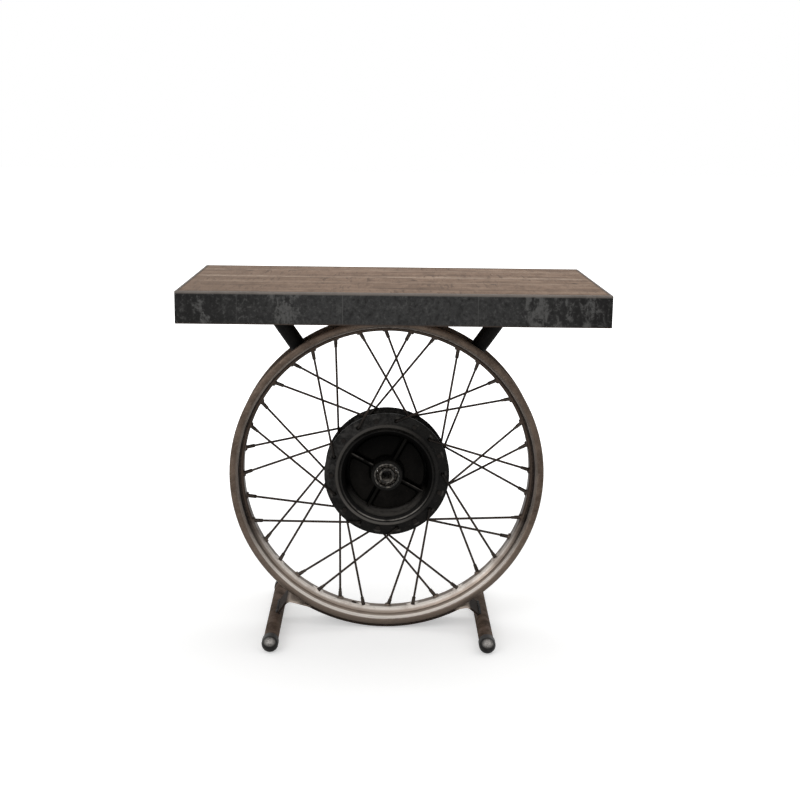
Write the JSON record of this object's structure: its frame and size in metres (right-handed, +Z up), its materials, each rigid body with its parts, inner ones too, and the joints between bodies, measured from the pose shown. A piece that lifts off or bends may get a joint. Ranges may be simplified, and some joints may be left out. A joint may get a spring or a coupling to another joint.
{
  "type": "motorcycle wheel side table",
  "caption": "Low side table: plank top in a steel band, carried by an upright spoked motorcycle wheel welded into a bent strap cradle on two foot tubes.",
  "frame": {"origin": "on the floor, under the middle of the top", "axes": "+Z up, +X along the top's length, front of the table faces -Y; the wheel's axis is along Y"},
  "size_m": [0.607, 0.349, 0.544],
  "materials": {
    "band_steel": "blackened, scraped",
    "reclaimed_wood": "weathered, matt",
    "black_steel": "satin black",
    "screw_steel": "plain",
    "rim_steel": "aged, brown",
    "spoke_steel": "rusty",
    "nipple_steel": "aged",
    "hub_paint": "black paint, dusty",
    "rubber": "matt",
    "drum_iron": "turned",
    "bearing_steel": "greasy",
    "cage_steel": "greasy",
    "foot_steel": "dark brown",
    "cap_rubber": "satin"
  },
  "bodies": {
    "table": {"board_1": "reclaimed_wood", "board_2": "reclaimed_wood", "board_3": "reclaimed_wood", "board_4": "reclaimed_wood", "brake_drum_liner": "drum_iron", "cradle_strap": "black_steel", "cush_rubber_1": "rubber", "cush_rubber_2": "rubber", "cush_rubber_3": "rubber", "cush_rubber_4": "rubber", "foot_cap_front_left": "cap_rubber", "foot_cap_front_right": "cap_rubber", "foot_cap_rear_left": "cap_rubber", "foot_cap_rear_right": "cap_rubber", "foot_tube_left": "foot_steel", "foot_tube_right": "foot_steel", "frame_front": "band_steel", "frame_left": "band_steel", "frame_rear": "band_steel", "frame_right": "band_steel", "front_outer_race": "bearing_steel", "hub_shell": "hub_paint", "nipples_front": "nipple_steel", "nipples_rear": "nipple_steel", "rear_outer_race": "bearing_steel", "rim": "rim_steel", "spokes_front_inner": "spoke_steel", "spokes_front_outer": "spoke_steel", "spokes_rear_inner": "spoke_steel", "spokes_rear_outer": "spoke_steel", "strap_screws": "screw_steel", "top_strap_left": "black_steel", "top_strap_right": "black_steel", "upper_strut_left": "black_steel", "upper_strut_right": "black_steel"},
    "spindle": {"front_inner_race": "bearing_steel", "rear_inner_race": "bearing_steel", "spacer_tube": "screw_steel"},
    "front_ball_set": {"front_bearing_balls": "bearing_steel", "front_bearing_cage": "cage_steel"},
    "rear_ball_set": {"rear_bearing_balls": "bearing_steel", "rear_bearing_cage": "cage_steel"}
  },
  "joints": [
    {"name": "spindle_spin", "type": "hinge", "parent": "table", "child": "spindle", "pos_m": [-0.0066, 0, 0.246], "axis": [0, 1, 0], "continuous": true},
    {"name": "front_cage_orbit", "type": "hinge", "parent": "table", "child": "front_ball_set", "pos_m": [-0.0066, 0, 0.246], "axis": [0, 1, 0], "continuous": true},
    {"name": "rear_cage_orbit", "type": "hinge", "parent": "table", "child": "rear_ball_set", "pos_m": [-0.0066, 0, 0.246], "axis": [0, 1, 0], "continuous": true}
  ],
  "couplings": [
    {"joint": "front_cage_orbit", "follows": "spindle_spin", "ratio": 0.3842},
    {"joint": "rear_cage_orbit", "follows": "spindle_spin", "ratio": 0.3842}
  ]
}
